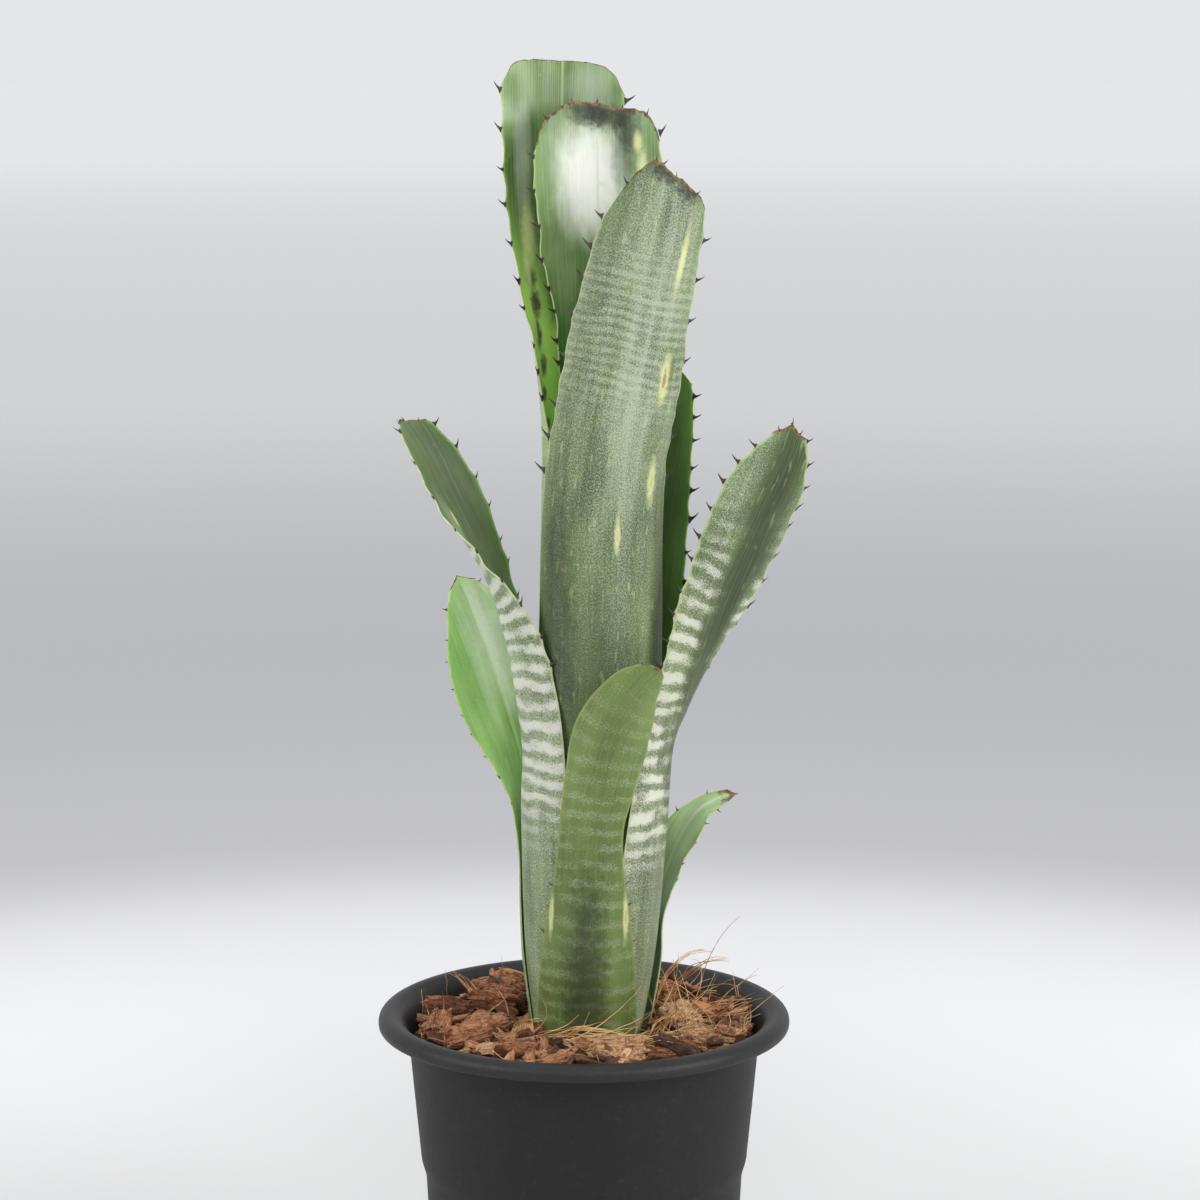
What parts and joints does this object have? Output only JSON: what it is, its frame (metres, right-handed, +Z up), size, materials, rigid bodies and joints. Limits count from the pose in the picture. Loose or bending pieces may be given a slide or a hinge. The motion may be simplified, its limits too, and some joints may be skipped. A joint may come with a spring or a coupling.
{
  "type": "potted bromeliad",
  "caption": "Tubular bromeliad with banded, spine-edged strap leaves rolled around a water tank, growing in a round rolled-rim nursery pot filled with coconut husk.",
  "frame": {"origin": "centre of the pot's base, on the surface the pot stands on", "axes": "+Z up along the pot's axis, -Y towards the front, where the low front leaf faces, +X to the right"},
  "size_m": [0.1553, 0.15, 0.4827],
  "materials": {
    "pot_plastic": "matte black injection-moulded polypropylene, satin on the rolled lip",
    "coconut_husk": "rough, dry, red-brown chopped coconut husk",
    "coir_fibre": "dry straw-coloured coconut fibre",
    "plant_stem": "matte, woody",
    "leaf": "leathery green leaf, grey-scurfed and silver-banded outside, glossy inside, dark marginal spines"
  },
  "bodies": {
    "root": {"pot": "pot_plastic", "potting_mix": "coconut_husk", "stem_with_roots": "plant_stem", "leaf_inner": "leaf", "leaf_back_tall": "leaf", "leaf_front_tall": "leaf", "leaf_right_rear": "leaf", "leaf_right": "leaf", "leaf_left": "leaf", "leaf_left_low": "leaf", "leaf_front_low": "leaf", "leaf_right_low": "leaf", "husk_chip_01": "coconut_husk", "husk_chip_02": "coconut_husk", "husk_chip_03": "coconut_husk", "husk_chip_04": "coconut_husk", "husk_chip_05": "coconut_husk", "husk_chip_06": "coconut_husk", "husk_chip_07": "coconut_husk", "husk_chip_08": "coconut_husk", "husk_chip_09": "coconut_husk", "husk_chip_10": "coconut_husk", "husk_chip_11": "coconut_husk", "husk_chip_12": "coconut_husk", "husk_chip_13": "coconut_husk", "husk_chip_14": "coconut_husk", "husk_chip_15": "coconut_husk", "husk_chip_16": "coconut_husk", "husk_chip_17": "coconut_husk", "husk_chip_18": "coconut_husk", "coir_strand_1": "coir_fibre", "coir_strand_2": "coir_fibre", "coir_strand_3": "coir_fibre", "coir_strand_4": "coir_fibre", "coir_strand_5": "coir_fibre", "coir_strand_6": "coir_fibre"}
  },
  "joints": []
}
